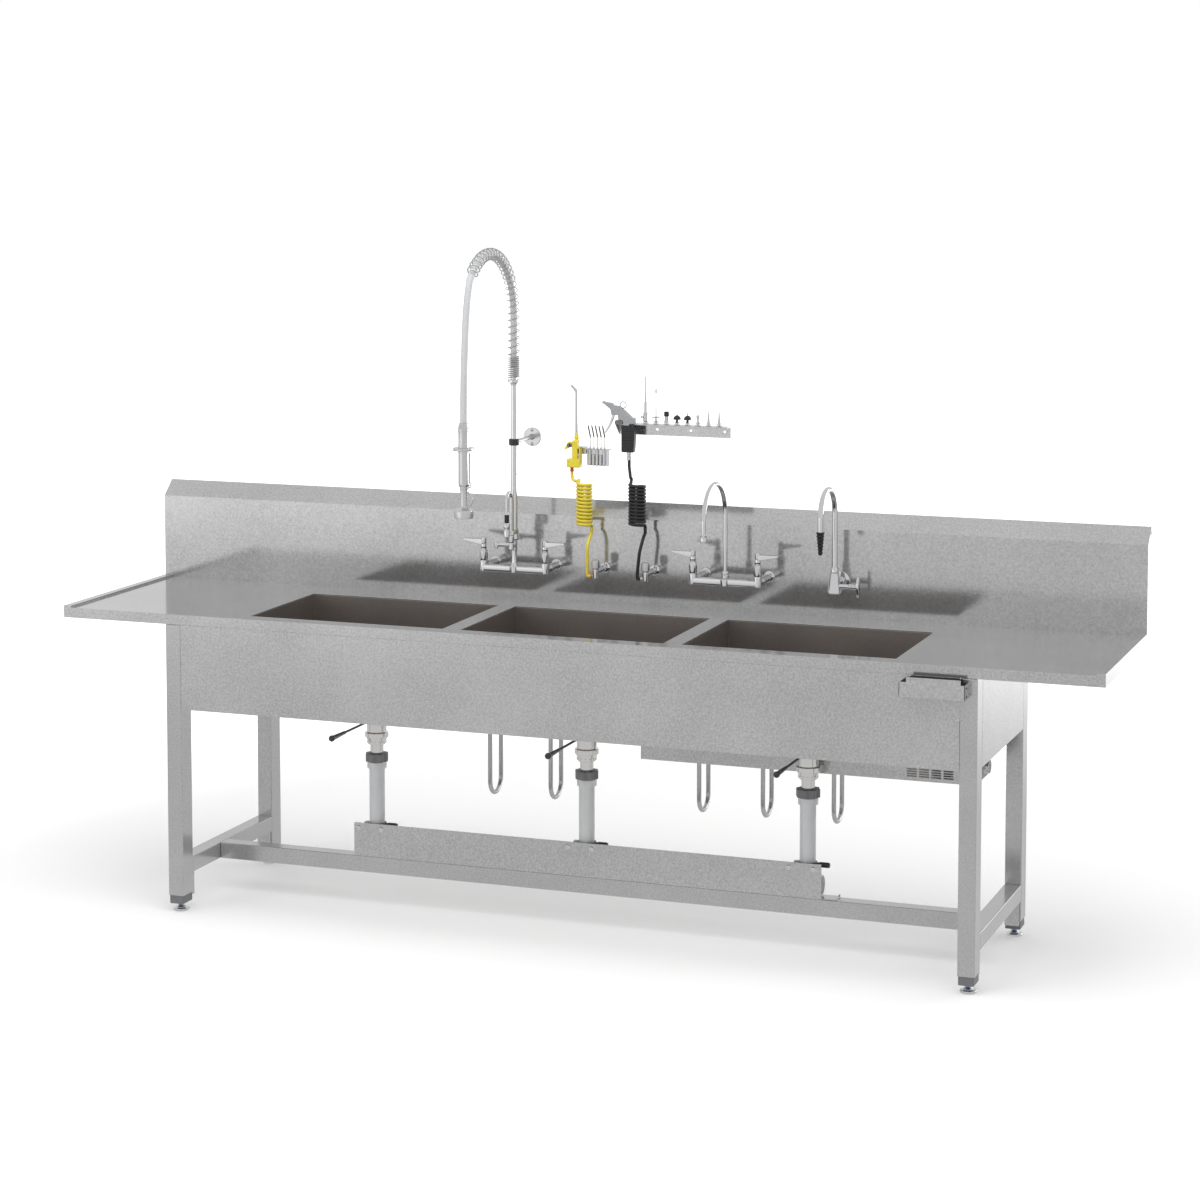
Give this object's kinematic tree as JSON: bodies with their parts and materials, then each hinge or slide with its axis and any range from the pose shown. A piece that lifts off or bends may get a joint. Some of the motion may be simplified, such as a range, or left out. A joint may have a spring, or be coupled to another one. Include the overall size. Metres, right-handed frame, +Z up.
{
  "type": "three basin decontamination sink",
  "caption": "Long stainless washing sink with basins, lever drains, splash, adjustable legs, taps, a sprung spray arm and wall-hung cleaning guns on coiled hoses",
  "frame": {"origin": "on the floor, below the middle of the box round the sink without its hoses", "axes": "+X along the length to the user's right, +Y to the wall, +Z up"},
  "size_m": [3.2, 0.7505, 2.0244],
  "materials": {
    "sheet_steel": "satin, fine grain",
    "basin_steel": "satin",
    "frame_steel": "satin",
    "foot_metal": "satin",
    "drain_metal": "satin nickel",
    "lever_metal": "rod bright, grip black",
    "nut_plastic": "matte",
    "tube_plastic": "clear, slightly frosted",
    "pipe_plastic": "translucent white",
    "supply_metal": "satin",
    "tap_chrome": "polished",
    "spring_steel": "bright",
    "spray_hose": "smooth grey",
    "spray_metal": "bright",
    "ringed_rubber": "matte",
    "yellow_plastic": "semi gloss",
    "yellow_hose": "smooth",
    "gun_metal": "grey body, black grip",
    "black_hose": "smooth",
    "nozzle_metal": "bright, three dark caps"
  },
  "bodies": {
    "base": {"worktop": "sheet_steel", "backsplash": "sheet_steel", "skirt": "sheet_steel", "utility_box": "sheet_steel", "control_pod": "sheet_steel", "tool_rail": "sheet_steel", "basin_left": "basin_steel", "basin_middle": "basin_steel", "basin_right": "basin_steel", "leg_front_left": "frame_steel", "leg_front_right": "frame_steel", "leg_rear_left": "frame_steel", "leg_rear_right": "frame_steel", "base_rails": "frame_steel", "manifold_cover": "frame_steel", "drain_body_left": "drain_metal", "drain_body_middle": "drain_metal", "drain_body_right": "drain_metal", "slip_nuts": "nut_plastic", "drain_tubes": "tube_plastic", "manifold_pipe": "pipe_plastic", "supply_loops": "supply_metal", "rinse_body": "tap_chrome", "riser": "tap_chrome", "wall_bracket": "tap_chrome", "double_body": "tap_chrome", "single_body": "tap_chrome", "hose_valves": "tap_chrome", "riser_spring": "spring_steel", "spray_hose": "spray_hose", "spray_valve": "spray_metal", "left_gun": "yellow_plastic", "left_hose": "yellow_hose", "left_coil": "yellow_hose", "right_gun": "gun_metal", "right_hose": "black_hose", "right_coil": "black_hose", "rail_nozzles": "nozzle_metal"},
    "foot_front_left": {"foot_front_left": "foot_metal"},
    "foot_front_right": {"foot_front_right": "foot_metal"},
    "foot_rear_left": {"foot_rear_left": "foot_metal"},
    "foot_rear_right": {"foot_rear_right": "foot_metal"},
    "lever_left": {"drain_lever_left": "lever_metal"},
    "stopper_left": {"stopper_left": "drain_metal"},
    "lever_middle": {"drain_lever_middle": "lever_metal"},
    "stopper_middle": {"stopper_middle": "drain_metal"},
    "lever_right": {"drain_lever_right": "lever_metal"},
    "stopper_right": {"stopper_right": "drain_metal"},
    "rinse_handle_left": {"rinse_handle_left": "tap_chrome"},
    "rinse_handle_right": {"rinse_handle_right": "tap_chrome"},
    "double_handle_left": {"double_handle_left": "tap_chrome"},
    "double_handle_right": {"double_handle_right": "tap_chrome"},
    "add_on_spout": {"add_on_spout": "tap_chrome"},
    "double_spout": {"double_spout": "tap_chrome"},
    "single_spout": {"single_spout": "tap_chrome", "hose_nozzle": "ringed_rubber"},
    "single_handle": {"single_handle": "tap_chrome"},
    "spray_lever": {"spray_lever": "spray_metal"},
    "left_trigger": {"left_trigger": "yellow_plastic"},
    "right_trigger": {"right_trigger": "gun_metal"}
  },
  "joints": [
    {"name": "level_front_left", "type": "slide", "parent": "base", "child": "foot_front_left", "axis": [0, 0, -1], "range_m": [0, 0.02]},
    {"name": "level_front_right", "type": "slide", "parent": "base", "child": "foot_front_right", "axis": [0, 0, -1], "range_m": [0, 0.02]},
    {"name": "level_rear_left", "type": "slide", "parent": "base", "child": "foot_rear_left", "axis": [0, 0, -1], "range_m": [0, 0.02]},
    {"name": "level_rear_right", "type": "slide", "parent": "base", "child": "foot_rear_right", "axis": [0, 0, -1], "range_m": [0, 0.02]},
    {"name": "lever_left", "type": "hinge", "parent": "base", "child": "lever_left", "pos_m": [-0.6785, -0.08875, 0.586], "axis": [1, 0, 0], "range_deg": [0, 14]},
    {"name": "lift_left", "type": "slide", "parent": "base", "child": "stopper_left", "axis": [0, 0, 1], "range_m": [0, 0.0095]},
    {"name": "lever_middle", "type": "hinge", "parent": "base", "child": "lever_middle", "pos_m": [0.006, -0.08875, 0.586], "axis": [1, 0, 0], "range_deg": [0, 14]},
    {"name": "lift_middle", "type": "slide", "parent": "base", "child": "stopper_middle", "axis": [0, 0, 1], "range_m": [0, 0.0095]},
    {"name": "lever_right", "type": "hinge", "parent": "base", "child": "lever_right", "pos_m": [0.6905, -0.08875, 0.586], "axis": [1, 0, 0], "range_deg": [0, 14]},
    {"name": "lift_right", "type": "slide", "parent": "base", "child": "stopper_right", "axis": [0, 0, 1], "range_m": [0, 0.0095]},
    {"name": "rinse_handle_left_turn", "type": "hinge", "parent": "base", "child": "rinse_handle_left", "pos_m": [-0.433, 0.21925, 1.09], "axis": [0, 0, 1], "range_deg": [0, 90]},
    {"name": "rinse_handle_right_turn", "type": "hinge", "parent": "base", "child": "rinse_handle_right", "pos_m": [-0.2298, 0.21925, 1.09], "axis": [0, 0, 1], "range_deg": [-90, 0]},
    {"name": "double_handle_left_turn", "type": "hinge", "parent": "base", "child": "double_handle_left", "pos_m": [0.2554, 0.19925, 1.09], "axis": [0, 0, 1], "range_deg": [0, 90]},
    {"name": "double_handle_right_turn", "type": "hinge", "parent": "base", "child": "double_handle_right", "pos_m": [0.4586, 0.19925, 1.09], "axis": [0, 0, 1], "range_deg": [-90, 0]},
    {"name": "add_on_swing", "type": "hinge", "parent": "base", "child": "add_on_spout", "pos_m": [-0.3314, 0.19625, 1.14], "axis": [0, 0, 1], "range_deg": [-60, 60]},
    {"name": "double_swing", "type": "hinge", "parent": "base", "child": "double_spout", "pos_m": [0.357, 0.19925, 1.05], "axis": [0, 0, 1], "range_deg": [-60, 60]},
    {"name": "single_swing", "type": "hinge", "parent": "base", "child": "single_spout", "pos_m": [0.681, 0.25525, 1.07], "axis": [0, 0, 1], "range_deg": [-60, 60]},
    {"name": "single_handle_turn", "type": "hinge", "parent": "base", "child": "single_handle", "pos_m": [0.745, 0.25525, 1.022], "axis": [1, 0, 0], "range_deg": [0, 90]},
    {"name": "spray_squeeze", "type": "hinge", "parent": "base", "child": "spray_lever", "pos_m": [-0.3314, -0.14875, 1.329], "axis": [1, 0, 0], "range_deg": [0, 6], "stiffness_Nm_per_rad": 0.6, "springref_deg": -5.73},
    {"name": "left_trigger_pull", "type": "hinge", "parent": "base", "child": "left_trigger", "pos_m": [-0.189, 0.32525, 1.403], "axis": [0, -1, 0], "range_deg": [0, 12], "stiffness_Nm_per_rad": 0.05, "springref_deg": -5.73},
    {"name": "right_trigger_pull", "type": "hinge", "parent": "base", "child": "right_trigger", "pos_m": [-0.04462, 0.32525, 1.50808], "axis": [0, -1, 0], "range_deg": [0, 12], "stiffness_Nm_per_rad": 0.2, "springref_deg": -5.73}
  ],
  "couplings": [
    {"joint": "lift_left", "follows": "lever_left", "m_per_rad": 0.0368},
    {"joint": "lift_middle", "follows": "lever_middle", "m_per_rad": 0.0368},
    {"joint": "lift_right", "follows": "lever_right", "m_per_rad": 0.0368}
  ]
}
